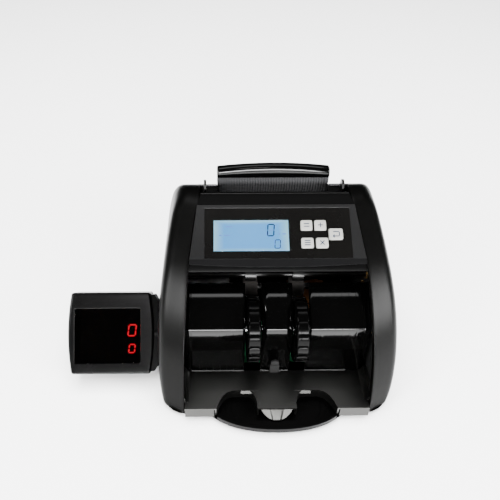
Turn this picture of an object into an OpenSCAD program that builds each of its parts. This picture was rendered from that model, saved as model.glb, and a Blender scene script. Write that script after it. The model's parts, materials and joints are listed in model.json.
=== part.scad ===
// Desktop banknote counting machine with a tilting side display.
// Machine frame: X to the right seen from the front, -Y to the front, Z up,
// X = 0 on the centre plane of the counter and Z = 0 on the table.

/* [Machine] */
// Width over both side covers
body_w = 290; // [284:1:296]
// Height of the flat top of the side covers
top_z = 208; // [206:1:210]
// Depth position of the rear wall
rear_y = 125; // [124:1:126]
// Depth position of the front tip of the base
front_y = -126; // [-130:1:-124]
// Height of the rubber feet
foot_h = 6; // [5:1:6]
// Wall thickness of the moulded covers
wall = 2.5; // [2:0.5:3]

/* [Control panel] */
// Tilt of the panel from horizontal
panel_tilt = 29.6; // [29:0.2:30]
// Depth position of the lower edge of the panel
panel_y = 2; // [1:1:3]
// Height of the lower edge of the panel
panel_z = 166; // [165:1:167]
// Length of the panel bezel up the slope
panel_len = 75; // [73:1:76]
// Travel of each key
key_travel = 1; // [0.5:0.1:1.2]

/* [Stacker] */
// Height of the top of the stacker tray
tray_z = 24; // [23:1:26]
// Outer radius of the two impellers
impeller_r = 40; // [38:1:41]
// Distance between the two impellers
impeller_pitch = 57; // [54:1:60]
// Number of fingers on each impeller
impeller_fingers = 16; // [12:1:18]

/* [Hopper] */
// Radius of the feed rollers
feed_r = 17; // [15:1:17]
// Radius of the counting rollers
count_r = 13; // [11:1:13]
// Travel of each note guide towards the middle
guide_travel = 26; // [10:1:30]

/* [Side display] */
// Width of the display head
display_size = 110; // [108:1:112]
// Height of the display head
display_h = 104; // [98:1:106]
// Thickness of the display head
display_t = 30; // [26:1:30]
// Tilt of the display face from horizontal
display_tilt = 45; // [40:1:60]

/* [Hidden] */
$fn = 48;

half_w = body_w/2;
base_z = foot_h + 2;
tiny = 0.01;
gap = 0.4;

// Shaft lines, as [y, z]
impeller_at = [-30, 85];
count_at = [28, 100];
press_at = [28, count_at[1] + count_r + 9.6];
feed_at = [99.6, 131.2];
retard_at = [73.2, 142.5];
motor_at = [68, 48];
rail_at = [109.4, 167];
shaft_r = 4;
frame_x = 118;
frame_t = 2;
belt_x = 124;
belt_w = 6;

// Side display placement
display_x = -209;
display_y = -10.5;
display_z = 55.5;

// ---------- outlines ----------
function bez(p, t) = pow(1 - t, 3)*p[0] + 3*t*pow(1 - t, 2)*p[1] + 3*t*t*(1 - t)*p[2] + pow(t, 3)*p[3];
function curve(p, n = 8) = [for (i = [0:n]) bez(p, i/n)];
function arc(c, r, a0, a1, n = 6) = [for (i = [0:n]) let (a = a0 + (a1 - a0)*i/n) c + r*[cos(a), sin(a)]];
function reversed(p) = [for (i = [len(p) - 1:-1:0]) p[i]];
function flipped(p) = [for (q = reversed(p)) [-q[0], q[1]]];
function heading(p, i) = let (d = p[min(i + 1, len(p) - 1)] - p[max(i - 1, 0)]) d/norm(d);
function beside(p, t) = [for (i = [0:len(p) - 1]) let (d = heading(p, i)) p[i] + t*[-d[1], d[0]]];
function band(p, t) = concat(p, reversed(beside(p, t)));

// Side view of a cover, inset by e, as [y, z]; k narrows the depth axis, and
// the front or the rear end can be moved outwards
function side_outline(e, k = 1, front = 0, rear = 0) = [for (q = concat(
    curve([[-101 + e, base_z + (e > 0 ? -5 : 0)], [-101 + e, 60], [-62 + 0.7*e, 128 - 0.7*e],
        [panel_y + 0.5*e, panel_z - 0.87*e]], 10),
    [panel_point(panel_len + 0.3, -e), [88, top_z - e]],
    arc([rear_y - 30, top_z - 30], 30 - e, 90, 0),
    [[rear_y - e, base_z + (e > 0 ? -5 : 0)]]))
    [(q[0] + (q[0] > 88 ? rear : 0) - (q[0] < 50 ? front : 0))*k, q[1]]];
// A point w up the panel and n out of it, as [y, z]
function panel_point(w, n) = [panel_y + w*cos(panel_tilt) - n*sin(panel_tilt),
    panel_z + w*sin(panel_tilt) + n*cos(panel_tilt)];
// Front view of the bulging outer wall and of the leaning inner edge, as [x, z]
function outer_curve(e) = curve([[half_w - 3 - e, base_z], [half_w + 5 - e, 95],
    [half_w - 5 - e, 165], [half_w - 24 - e, top_z - e]], 12);
inner_edge = [[114, base_z], [111, 98], [106, panel_z], [97, 203], [92, top_z]];
// Plan of the base, inset by e, right half from the front tip, as [x, y]
function base_plan(e) = concat(
    curve([[0, front_y + e], [40, front_y + e], [64 - e, -117 + e], [80 - e, -104 + e]], 8),
    [[112, -100.5 + e]],
    curve([[112, -100.5 + e], [128, -99 + e], [half_w - 7 - e, -90], [half_w - 5 - e, -80]], 5),
    [[half_w - 5 - e, 107], [corner_x, rear_y - 3 - e]]);
side_max = max([for (q = outer_curve(0)) q[0]]);
x_shift = -(side_max + display_x - display_size/2)/2;
y_shift = -(front_y + 131)/2;

module placed() { translate([x_shift, y_shift, 0]) children(); }
// Extrude a [y, z] outline along X from x0 to x1
module along_x(x0, x1) { translate([x0, 0, 0]) rotate([90, 0, 90]) linear_extrude(x1 - x0) children(); }
// Extrude an [x, z] outline along Y from y0 to y1
module along_y(y0, y1) { translate([0, y1, 0]) rotate([90, 0, 0]) linear_extrude(y1 - y0) children(); }
// A round bar along X at [y, z] from x0 to x1
module bar(at, r, x0, x1) { translate([x0, at[0], at[1]]) rotate([0, 90, 0]) cylinder(r = r, h = x1 - x0); }
module both_sides() { children(); mirror([1, 0, 0]) children(); }
module on_panel() { translate([0, panel_y, panel_z]) rotate([panel_tilt, 0, 0]) children(); }
module on_display() {
    translate([display_x, display_y, display_z]) rotate([display_tilt, 0, 0]) children();
}

// ---------- casing ----------
corner_x = 118;
corner_turn = 32;
corner_clear = 60;
// The side outline turned by an angle, which takes off one outer corner
module turned_outline(e, turn, front, rear) {
    translate([corner_x, 0, 0]) rotate([0, 0, turn])
        along_x(-110, 140) polygon(side_outline(e, cos(turn), front, rear));
}
module cover_block(e, reach) {
    intersection() {
        along_x(60, 160) polygon(side_outline(e));
        along_y(-140, 160) polygon(concat(
            [for (q = inner_edge) [q[0] - reach, q[1] + (q[1] < 10 ? -reach/4 : 0)]],
            reversed(concat([[half_w - 3 - e, base_z - reach/4]], outer_curve(e)))));
        turned_outline(e, corner_turn, 0, corner_clear);
        turned_outline(e, -corner_turn, corner_clear, 0);
    }
}
module side_cover() {
    difference() {
        cover_block(0, 0);
        cover_block(wall, 20);
    }
}
vent_pitch = 6;
module right_side_cover() {
    color("#2b2b2d") placed() difference() {
        side_cover();
        for (i = [0:6]) translate([130, 50 + vent_pitch*i, 30]) cube([20, 2.5, 22]);
    }
}
module left_side_cover() {
    color("#2b2b2d") placed() difference() {
        mirror([1, 0, 0]) side_cover();
        bar([display_y, display_z], 10, -150, -130);
        for (i = [0:6]) translate([-150, 50 + vent_pitch*i, 30]) cube([20, 2.5, 22]);
    }
}

module base_pan() {
    plan = concat(base_plan(0), flipped(base_plan(0)));
    inner = concat(base_plan(2.2), flipped(base_plan(2.2)));
    color("#161617") placed() difference() {
        union() {
            translate([0, 0, foot_h]) linear_extrude(2) polygon(plan);
            difference() {
                translate([0, 0, foot_h]) linear_extrude(8) polygon(plan);
                translate([0, 0, foot_h - 1]) linear_extrude(12) polygon(inner);
                for (s = [0, 1]) mirror([s, 0, 0]) translate([lip_x - 4, -140, base_z]) cube([80, 300, 20]);
                translate([-120, 60, base_z]) cube([240, 80, 20]);
            }
            for (s = [0, 1]) mirror([s, 0, 0]) {
                translate([frame_x - 6, -88, base_z - tiny]) cube([5.8, 196, 6]);
                for (y = [-60, 0, 90]) translate([130, y, base_z - tiny]) cylinder(r = 4, h = 10);
            }
            for (p = board_posts) translate([p[0], p[1], base_z - tiny]) cylinder(r = 3.5, h = 7);
        }
        for (p = foot_places) translate([p[0], p[1], foot_h - 1]) cylinder(r = 2.5, h = 8);
        bar(rod_places[0], rod_r + 0.1, -frame_x - 1, frame_x + 1);
        both_sides() for (p = screw_places) translate([p[0], p[1], foot_h - 1]) cylinder(r = 1.6, h = 14);
    }
}
foot_places = [[-118, -78], [118, -78], [-118, 104], [118, 104]];
board_posts = [[-80, -24], [80, -24], [-80, 30], [80, 30]];
foot_r = 9;
module rubber_feet() {
    color("#0c0c0c") placed() for (p = foot_places) translate([p[0], p[1], 0]) {
        cylinder(r = foot_r, h = foot_h);
        cylinder(r = 2.5, h = base_z);
    }
}

hood_t = 2.8;
module top_cover() {
    slope = [for (q = [[-8.2, -4.5], [-4, -2.2], [panel_len + 0.6, -2.2]]) panel_point(q[0], q[1])];
    crest = [panel_point(panel_len + 0.6, -0.2), [80, top_z - 1.8], [88, top_z - 0.4]];
    lip = [[88, top_z - 0.4], [66, 159]];
    color("#2e2e30") placed() intersection() {
        union() {
            difference() {
                union() for (line = [slope, crest, lip]) along_x(-106, 106) polygon(band(line, -hood_t));
                on_panel() translate([-84, 8, -12]) cube([168, 61, 12]);
            }
            both_sides() translate([95, 24, 152]) cube([frame_x - 95, 34, 2.5]);
            both_sides() translate([99, 24, 152]) cube([2.5, 34, 21]);
        }
        along_y(-60, 140) polygon(concat([[frame_x, 140], [frame_x, 158]],
            [for (q = inner_edge) if (q[1] > 110) [q[0] - gap, q[1]]],
            [[-92 + gap, top_z], [-97 + gap, 203], [-106 + gap, panel_z], [-frame_x, 158], [-frame_x, 140]]));
    }
}

// ---------- control panel ----------
panel_half = [105.4, 96.4];
overlay_x = [-87, 89];
overlay_y = [6.5, 70.5];
lcd_x = [-77, 15];
lcd_y = [15.3, 56];
// Each key: left edge, lower edge, width, height on the panel
key_boxes = [[28.6, 41.2, 14, 13], [45.2, 41.2, 14, 13], [28.4, 19, 14.6, 12.8],
    [46, 19, 14.6, 12.8], [62, 29.2, 16.6, 14.2]];
key_z = [-3.6, 2.6];
key_flange = 0.6;
dome_top = -6.2;
module window(x, y, z0, z1, e = 0) {
    translate([x[0] + e, y[0] + e, z0]) cube([x[1] - x[0] - 2*e, y[1] - y[0] - 2*e, z1 - z0]);
}
module key_block(i, z0, z1, e = 0) {
    k = key_boxes[i];
    window([k[0], k[0] + k[2]], [k[1], k[1] + k[3]], z0, z1, e);
}
module on_key(i, z) {
    translate([key_boxes[i][0] + key_boxes[i][2]/2, key_boxes[i][1] + key_boxes[i][3]/2, z]) children();
}
module key(i) {
    color("#e9e9e4") placed() on_panel() {
        key_block(i, -2.3, key_z[1]);
        key_block(i, key_z[0], -2.2, -key_flange);
        on_key(i, dome_top + key_travel + 0.2) cylinder(r = 2.5, h = 3);
    }
}
module panel_bezel() {
    color("#4a4a4d") placed() on_panel() difference() {
        translate([0, 0, -2]) linear_extrude(3) polygon(concat(
            [[panel_half[1], panel_len], [-panel_half[1], panel_len], [-panel_half[0], 0]],
            curve([[-panel_half[0], 0], [-60, -3], [-30, -3.8], [0, -3.8]], 5),
            curve([[0, -3.8], [30, -3.8], [60, -3], [panel_half[0], 0]], 5)));
        window(overlay_x, overlay_y, 0, 2);
        window(lcd_x, lcd_y, -3, 1, 1);
        for (i = [0:4]) key_block(i, -3, 1, -0.4);
    }
}
module panel_overlay() {
    color("#0d0d0f") placed() on_panel() difference() {
        window(overlay_x, overlay_y, 0, 0.8, 0.15);
        window(lcd_x, lcd_y, -1, 1);
        for (i = [0:4]) key_block(i, -1, 1, -0.4);
    }
}
module lcd_window() { color("#9fd0ff") placed() on_panel() window(lcd_x, lcd_y, 0.02, 0.75, 0.1); }
module lcd_module() {
    color("#3f6f9f") placed() on_panel() {
        window([lcd_x[0] - 4, lcd_x[1] + 4], [lcd_y[0] - 4, lcd_y[1] + 4], -7.5, -2.02);
        window(lcd_x, lcd_y, -2.3, -0.2, 1.2);
    }
}
module key_board() {
    color("#1f6b3a") placed() on_panel() {
        window([24, 82], [12, 62], -8, -6.4);
        for (i = [0:4]) on_key(i, dome_top - 0.3) cylinder(r = 2, h = 0.3);
    }
}
module mode_key() { key(0); }
module function_key() { key(1); }
module batch_key() { key(2); }
module clear_key() { key(3); }
module restart_key() { key(4); }

// ---------- stacker ----------
plate_front = concat([[-50, tray_z]],
    curve([[-45.6, 86], [-44.6, 100], [-37, 106], [-28, 114]], 5), [[-2, 138]]);
slot_w = 20;
slot_z = [tray_z + 5, 132];
module stacker_back_plate() {
    color("#101012") placed() difference() {
        union() {
            along_x(-113, 113) polygon(band(plate_front, -2.4));
            both_sides() translate([112, -46, 40]) cube([frame_x - 112, 8, 30]);
        }
        for (s = [-1, 1]) translate([s*impeller_pitch/2 - slot_w/2, -60, slot_z[0]])
            cube([slot_w, 70, slot_z[1] - slot_z[0]]);
    }
}
lip_x = 77;
tongue_w = 24;
tray_side = 117.8;
tray_side_y = -94;
tray_front_x = 112.6;
function recess(e) = concat([[tongue_w - e, -118]], [[tongue_w - e, -96]],
    curve([[tongue_w - e, -96], [26 - e, -84], [30, -79 + e], [36, -79 + e]], 4),
    [[54, -79 + e]], curve([[54, -79 + e], [64, -80 + e], [70 + e, -90], [74 + e, -104]], 4), [[76 + e, -118]]);
module stacker_tray() {
    color("#5b5c5a") placed() {
        difference() {
            union() {
                translate([-tray_front_x, -104, tray_z - 2.5]) cube([2*tray_front_x, 54, 2.5]);
                both_sides() along_y(tray_side_y, -50) polygon([[108, tray_z - 1], [108, tray_z], [111, tray_z + 2.5],
                    [114, tray_z + 10], [tray_side, tray_z + 10], [tray_side, tray_z - 2.5]]);
            }
            both_sides() linear_extrude(60) polygon(recess(0));
        }
        both_sides() difference() {
            translate([0, 0, base_z + 0.5]) linear_extrude(tray_z - base_z - 2) polygon(recess(2));
            linear_extrude(60) polygon(recess(0));
            translate([0, -130, 0]) cube([100, 26.2, 60]);
        }
        both_sides() along_x(lip_x, tray_front_x) polygon(
            [[-104, tray_z], [-104.2, tray_z - 0.2], [-106.2, base_z + 1.5], [-103.6, base_z + 1.5],
            [-101.8, tray_z - 2.4]]);
        intersection() {
            along_x(-tongue_w, tongue_w) polygon([[-98, tray_z], [-112, base_z + 1.5], [-109, base_z + 1.5],
                [-97, tray_z - 2.5], [-90, tray_z - 2.5], [-90, tray_z]]);
            translate([0, -88, 0]) union() {
                cylinder(r = tongue_w, h = 60);
                translate([-tongue_w, 0, 0]) cube([2*tongue_w, 20, 60]);
            }
        }
    }
}
module stacker_sensor() {
    color("#77787a") placed() {
        translate([-5.75, -53.2, tray_z]) cube([11.5, 2.4, 16]);
        translate([0, -52.4, tray_z + 19]) rotate([-90, 0, 0]) cylinder(r = 5, h = 2.6);
    }
}

finger_curve = curve([[9, 0], [24, 1], [33, -7], [impeller_r - 4, -17]], 6);
module impeller() {
    rotate([90, 0, 90]) translate([0, 0, -7.8]) linear_extrude(15.6) difference() {
        union() {
            circle(r = 11);
            for (i = [0:impeller_fingers - 1]) rotate(i*360/impeller_fingers) polygon(band(finger_curve, 1.5));
        }
        circle(r = shaft_r);
    }
}
module impeller_on(x) {
    color("#0b0b0b") placed() translate([x, impeller_at[0], impeller_at[1]]) impeller();
}
module left_impeller() { impeller_on(-impeller_pitch/2); }
module right_impeller() { impeller_on(impeller_pitch/2); }
module impeller_shaft() { color("silver") placed() bar(impeller_at, shaft_r, -121, 129); }

// ---------- hopper and handle ----------
hopper_lean = [[80, 123], [112, 197.6]];
riser_hw = 72;
riser_y = 114.5;
shelf_z = 182.6;
module hopper_plate() {
    color("#1a1a1c") placed() difference() {
        intersection() {
            along_x(-frame_x, frame_x) polygon(band(hopper_lean, -2.4));
            along_y(60, 160) polygon([[-frame_x, 110], [frame_x, 110], [frame_x, 156], [91, 160], [91, 215],
                [-91, 215], [-91, 160], [-frame_x, 156]]);
        }
        for (s = [-1, 1]) translate([s*roller_x - 12, 60, 118]) cube([24, 70, 30]);
        both_sides() translate([80 - guide_travel, 80, rail_at[1] - 5.5]) cube([guide_travel + 20, 40, 8.5]);
        translate([-riser_hw - 0.6, 80, shelf_z]) cube([2*riser_hw + 1.2, 60, 40]);
    }
}
rib_pitch = 3.4;
rib_depth = 1.6;
// The curved rear skin from the level of its centre up to an angle
module rear_skin(top_angle) {
    along_x(-110, 110) polygon(concat(arc([rear_y - 30, top_z - 30], 30, 0, top_angle, 8),
        arc([rear_y - 30, top_z - 30], 30 - wall, top_angle, 0, 8)));
}
module handle_riser() {
    color("#3a3a3c") placed() {
        translate([-riser_hw, riser_y + rib_depth, shelf_z - 3.2]) cube([2*riser_hw, 3.6 - rib_depth, 30.4]);
        for (i = [-20:20]) translate([rib_pitch*i - 0.9, riser_y, shelf_z]) cube([1.8, rib_depth + tiny, 27.2]);
        translate([-riser_hw, 108.8, shelf_z - 3.2]) cube([2*riser_hw, 8, 3]);
        translate([-frame_x, riser_y, 160]) cube([2*frame_x, 3.6, 17]);
        translate([-riser_hw, riser_y, 176]) cube([2*riser_hw, 3.6, 5]);
        intersection() {
            union() {
                rear_skin(36);
                difference() {
                    rear_skin(62);
                    translate([-riser_hw - 0.3, 60, 160]) cube([2*riser_hw + 0.6, 100, 60]);
                }
            }
            along_y(60, 160) polygon(between_covers(gap));
        }
        translate([-80, riser_y + 3, 176.6]) cube([160, rear_y - wall - riser_y - 3.3, 3]);
    }
}
module carry_handle() {
    color("#0a0a0b") placed() intersection() {
        along_x(-riser_hw, riser_hw) polygon(concat([[131, 210.5], [131, 216]],
            curve([[131, 216], [131, 224], [126, 227], [121, 227]], 4),
            curve([[121, 227], [116, 227], [113.5, 222], [113.5, 212]], 4),
            [[115, 210], [118, 211.9], [127, 211.9], [128.5, 210]]));
        translate([0, 150, -193]) rotate([90, 0, 0]) cylinder(r = 420, h = 60, $fn = 200);
    }
}

// ---------- frame and drive ----------
frame_outline = [[-94, base_z], [-92, 30], [-86, 52], [-64, 96], [-2, 149], [58, 183], [114, 185], [116, 181],
    [116, base_z]];
module frame_plate() {
    difference() {
        along_x(frame_x, frame_x + frame_t) polygon(frame_outline);
        for (p = [impeller_at, count_at, press_at, feed_at]) bar(p, bearing_r, 110, 130);
        for (p = [retard_at, rail_at]) bar(p, 3, 110, 130);
        bar(motor_at, 7, 110, 130);
        bar([60, 90], 6, 110, 130);
    }
}
bearing_r = 7;
module left_frame_plate() { color("#8f9296") placed() mirror([1, 0, 0]) frame_plate(); }
module right_frame_plate() { color("#8f9296") placed() frame_plate(); }
rod_places = [[-70, 14], [18, 146], [104, 96], [100, 62]];
rod_r = 3.5;
module tie_rods() {
    color("#b8babd") placed() for (p = rod_places) bar(p, rod_r, -frame_x, frame_x);
}
module shaft_bearings() {
    color("#b08d57") placed() both_sides() for (p = [impeller_at, count_at, press_at, feed_at]) difference() {
        bar(p, bearing_r, frame_x - 1.5, frame_x + 3);
        bar(p, shaft_r + 0.05, frame_x - 3, frame_x + 5);
    }
}
roller_x = 30;
module note_path_plates() {
    color("#9ea1a5") placed() {
        along_x(-95, 95) polygon([[44, 110.5], [70, 113.5], [78, 119], [76.6, 120.4], [69, 115.2], [44, 112.2]]);
        along_x(-95, 95) polygon([[42, 117.8], [60, 120.6], [64, 126], [62.4, 127.2], [58.8, 122.2], [42, 119.4]]);
        both_sides() translate([95 - tiny, 44, 108]) cube([frame_x - 95 + tiny, 16, 3]);
        both_sides() translate([94, 44, 110]) cube([1.5, 16, 10]);
    }
}
module retard_shaft() { color("silver") placed() bar(retard_at, 3, -frame_x - 2, frame_x + 2); }
module retard_rollers() {
    color("#2a2320") placed() for (s = [-1, 1]) difference() {
        bar(retard_at, 11.2, s*roller_x - 9, s*roller_x + 9);
        bar(retard_at, 3, s*roller_x - 10, s*roller_x + 10);
    }
}
module rollers(at, r, w) {
    for (s = [-1, 1]) difference() {
        bar(at, r, s*roller_x - w/2, s*roller_x + w/2);
        bar(at, shaft_r, s*roller_x - w, s*roller_x + w);
    }
}
module feed_shaft() { color("silver") placed() bar(feed_at, shaft_r, -120, belt_x + belt_w + 1); }
module feed_rollers() { color("#3b2d28") placed() rollers(feed_at, feed_r, 20); }
module count_shaft() {
    color("silver") placed() bar(count_at, shaft_r, -belt_x - belt_w - 1, belt_x + belt_w + 1);
}
module count_rollers() { color("#3b2d28") placed() rollers(count_at, count_r, 18); }
module press_roller_shaft() {
    color("#6f7174") placed() {
        bar(press_at, shaft_r, -120, 120);
        for (s = [-1, 1]) bar(press_at, 9, s*roller_x - 7, s*roller_x + 7);
    }
}
count_pulley_r = [14, 9];
feed_pulley_r = 14;
motor_pulley_r = 9;
module pulley(at, r, x0) {
    difference() {
        union() {
            bar(at, r, x0, x0 + belt_w);
            bar(at, r + 1.5, x0 - 0.9, x0);
        }
        bar(at, shaft_r, x0 - 2, x0 + belt_w + 2);
    }
}
module count_pulleys() {
    color("#d8d8d2") placed() {
        mirror([1, 0, 0]) pulley(count_at, count_pulley_r[0], belt_x);
        pulley(count_at, count_pulley_r[1], belt_x);
    }
}
module feed_pulley() { color("#d8d8d2") placed() pulley(feed_at, feed_pulley_r, belt_x); }
// The pulley, its shaft and the armature inside the motor can
module motor_pulley() {
    color("#c9c9c4") placed() mirror([1, 0, 0]) {
        bar(motor_at, motor_pulley_r, belt_x, belt_x + belt_w);
        bar(motor_at, 3, 108, belt_x + belt_w + 1);
        bar(motor_at, 14, 64, 110);
    }
}
module loop(p, rp, q, rq, e) {
    hull() {
        translate(p) circle(r = rp + e, $fn = 32);
        translate(q) circle(r = rq + e, $fn = 32);
    }
}
module belt(p, rp, q, rq) {
    along_x(belt_x + 0.5, belt_x + belt_w - 0.5) difference() {
        loop(p, rp, q, rq, 2.2);
        loop(p, rp, q, rq, 0.4);
    }
}
module main_drive_belt() {
    color("#1c1c1c") placed() mirror([1, 0, 0]) belt(motor_at, motor_pulley_r, count_at, count_pulley_r[0]);
}
module feed_belt() { color("#1c1c1c") placed() belt(count_at, count_pulley_r[1], feed_at, feed_pulley_r); }
module main_motor() {
    color("#7c7f83") placed() mirror([1, 0, 0]) difference() {
        union() {
            bar(motor_at, 24, 56, frame_x);
            bar(motor_at, 12, 50, 56);
        }
        bar(motor_at, 20, 60, 114);
        bar(motor_at, 3.3, 100, 130);
    }
}
module impeller_motor() {
    color("#7c7f83") placed() difference() {
        bar(impeller_at, 14, frame_x + 3.5, 137);
        bar(impeller_at, shaft_r + 0.1, 110, 130);
    }
}
module transformer() {
    color("#6b5a3a") placed() {
        translate([24, 48, base_z]) cube([62, 44, 4]);
        translate([28, 50, base_z + 4]) cube([54, 40, 34]);
        translate([34, 44, base_z + 9]) cube([42, 52, 24]);
    }
}
module main_board() {
    color("#1f6b3a") placed() {
        translate([-88, -32, base_z + 7]) cube([176, 70, 1.6]);
        for (i = [0:5]) translate([-70 + 22*i, -20, base_z + 8.6]) cube([12, 8 + 3*(i % 3), 3]);
        for (i = [0:3]) translate([-60 + 34*i, 22, base_z + 8.6]) cylinder(r = 5, h = 12);
    }
}

// ---------- rear ----------
// Front view of the space between the side covers, e clear of them
function between_covers(e) = let (p = [for (q = inner_edge) [q[0] - e, q[1]]]) concat(p, flipped(p));
rear_split = 75;
rear_top = 177.4;
inlet_x = 62;
module rear_panel() {
    color("#232325") placed() difference() {
        union() {
            intersection() {
                translate([-114, rear_y - wall, base_z]) cube([228, wall, rear_split - base_z - 3.1]);
                along_y(60, 160) polygon(between_covers(gap));
            }
            both_sides() translate([105, rear_y - 14, base_z]) cube([6, 12, 50]);
        }
        translate([inlet_x - 24.5, 100, 26]) cube([49, 40, 28]);
        translate([-70, 100, 30]) cube([14, 40, 10]);
        for (i = [0:8]) translate([-38 + vent_pitch*i, 100, 24]) cube([2.5, 40, 30]);
    }
}
rocker_at = [inlet_x + 14.5, 40];
module power_inlet() {
    color("#0f0f10") placed() difference() {
        union() {
            translate([inlet_x - 24.3, rear_y - 20, 26.2]) cube([48.6, 20.4, 27.6]);
            translate([inlet_x - 28, rear_y, 23]) cube([56, 2.2, 34]);
        }
        translate([inlet_x - 20, rear_y - 16, 30.2]) cube([24, 30, 19.6]);
        translate([rocker_at[0] - 5.5, rear_y - 12, 28.5]) cube([11, 30, 23]);
    }
    color("#0f0f10") placed() bar([rear_y - 1, rocker_at[1]], 1.4, rocker_at[0] - 6, rocker_at[0] + 6);
    color("#c9b27a") placed() for (p = [[-14, 36], [-8, 43], [-2, 36]])
        translate([inlet_x + p[0] - 1, rear_y - 17, p[1] - 2]) cube([2, 14, 4]);
}
module power_rocker() {
    color("#17181a") placed() translate([rocker_at[0], rear_y - 1, rocker_at[1]]) difference() {
        along_x(-4.9, 4.9) polygon([[3.4, 0], [5.6, 9.3], [-1, 9.3], [-5, 4], [-5, -4], [-1, -9.3], [3.4, -9.3]]);
        bar([0, 0], 1.45, -6, 6);
    }
}
hinge_at = [rear_y - 6, rear_split + 3.6];
module rear_cover() {
    color("#262628") placed() difference() {
        union() {
            intersection() {
                translate([-113, rear_y - wall, rear_split]) cube([226, wall, rear_top - rear_split]);
                along_y(60, 160) polygon(between_covers(0.7));
            }
            both_sides() bar(hinge_at, 3.4, 88, 100);
            both_sides() translate([88, hinge_at[0], hinge_at[1] - 3]) cube([12, 4, 6.4]);
        }
        bar(hinge_at, 2.06, -120, 120);
        for (i = [-7:7]) translate([8*i - 1.5, 110, 112]) cube([3, 30, 34]);
        translate([-30, rear_y - 1.2, rear_top - 12]) cube([60, 5, 7]);
    }
}
module hinge_pins() {
    color("silver") placed() both_sides() {
        bar(hinge_at, 2, 87, 110);
        translate([104, hinge_at[0] - 4, hinge_at[1] - 2.8]) cube([4, 6, 17]);
        translate([104, hinge_at[0] - 8, hinge_at[1] + 8]) cube([frame_x - 104, 8, 5]);
    }
}
screw_places = [[130, -60], [130, 0], [130, 90]];
module cover_screws() {
    color("#909397") placed() both_sides() for (p = screw_places) translate([p[0], p[1], 0]) {
        translate([0, 0, foot_h - 1.6]) cylinder(r = 3, h = 1.6);
        translate([0, 0, foot_h - tiny]) cylinder(r = 1.5, h = 9);
    }
}

// ---------- note guides ----------
module guide_rail() { color("silver") placed() bar(rail_at, 3, -frame_x - 1, frame_x + 1); }
guide_x = 87;
module note_guide() {
    difference() {
        union() {
            along_x(guide_x - 1.5, guide_x + 1.5) polygon([[77, 158], [89, 158], [109.5, 206], [108.5, 212], [104, 214.5], [98, 212]]);
            along_x(guide_x - 5, guide_x + 5) polygon([[91, 164.6], [104.8, 164.6], [104.8, 162], [113.8, 162],
                [113.8, 172], [104.8, 172], [104.8, 169.4], [92, 169.4]]);
        }
        bar(rail_at, 3.06, 60, 110);
    }
}
module right_note_guide() { color("#c8ccd2") placed() note_guide(); }
module left_note_guide() { color("#c8ccd2") placed() mirror([1, 0, 0]) note_guide(); }

// ---------- side display ----------
// Outline of the head with bulging sides, inset by e, as [x, y]
function head_outline(e) = let (h = display_h/2 - e, w = display_size/2 - 4 - e) concat(
    curve([[w, -h], [w + 5.3, -h/3], [w + 5.3, h/3], [w, h]], 8),
    curve([[-w, h], [-w - 5.3, h/3], [-w - 5.3, -h/3], [-w, -h]], 8));
glass_x = [-46, 38];
glass_y = [-38, 31.5];
head_front = display_t/2;
module display_front() {
    color("#3a3a3c") placed() on_display() difference() {
        translate([0, 0, -2]) linear_extrude(head_front + 2) polygon(head_outline(0));
        translate([0, 0, -3]) linear_extrude(head_front + 0.5) polygon(head_outline(wall));
        window(glass_x, glass_y, 5, 40);
        rotate([0, 90, 0]) cylinder(r = pivot_r + 0.05, h = 80);
    }
}
module display_back() {
    color("#1d1d1f") placed() on_display() difference() {
        union() {
            translate([0, 0, -head_front]) linear_extrude(head_front - 2) polygon(head_outline(0));
            translate([0, 0, -5]) linear_extrude(7) polygon(head_outline(wall + 0.2));
        }
        translate([0, 0, wall - head_front]) linear_extrude(40) polygon(head_outline(wall + 2));
        rotate([0, 90, 0]) cylinder(r = pivot_r + 0.05, h = 80);
        for (i = [0:6]) translate([-24 + 8*i, -20, -20]) cube([3, 40, 10]);
    }
}
module display_window() {
    color("#2a1416") placed() on_display() window(glass_x, glass_y, head_front - 2.4, head_front - 0.8, 0.1);
}
module display_digits() {
    color("#1f4f2f") placed() on_display() window([-45, 37], [-37, 33], 2, 4);
    color("#e8221c") placed() on_display() {
        window([20, 31.5], [-5, 11], 4, 8);
        window([21, 30.5], [-26.5, -14.5], 4, 8);
    }
}
pivot_r = 6;
module display_pivot() {
    color("#28282a") placed() {
        bar([display_y, display_z], pivot_r, display_x + 48, -124);
        bar([display_y, display_z], 11, display_x + display_size/2, -148.4);
    }
}
module pivot_bushing() {
    color("#1b1b1c") placed() difference() {
        union() {
            bar([display_y, display_z], 10, -146, -frame_x - frame_t);
            bar([display_y, display_z], 13, -148, -145.4);
        }
        bar([display_y, display_z], pivot_r + 0.05, -150, -122);
    }
}

base_pan();
rubber_feet();
left_side_cover();
right_side_cover();
top_cover();
panel_bezel();
panel_overlay();
lcd_window();
lcd_module();
key_board();
mode_key();
function_key();
batch_key();
clear_key();
restart_key();
stacker_back_plate();
stacker_tray();
stacker_sensor();
hopper_plate();
handle_riser();
carry_handle();
left_frame_plate();
right_frame_plate();
tie_rods();
shaft_bearings();
note_path_plates();
retard_shaft();
retard_rollers();
main_motor();
impeller_motor();
motor_pulley();
main_drive_belt();
feed_belt();
transformer();
main_board();
rear_panel();
power_inlet();
power_rocker();
guide_rail();
cover_screws();
pivot_bushing();
hinge_pins();
rear_cover();
impeller_shaft();
left_impeller();
right_impeller();
count_shaft();
count_rollers();
count_pulleys();
press_roller_shaft();
feed_shaft();
feed_rollers();
feed_pulley();
left_note_guide();
right_note_guide();
display_front();
display_back();
display_window();
display_digits();
display_pivot();
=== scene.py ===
"""Looks of the banknote counting machine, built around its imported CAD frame."""

import json
import math

import bpy
import numpy as np
from mathutils import Matrix, Vector


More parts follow.
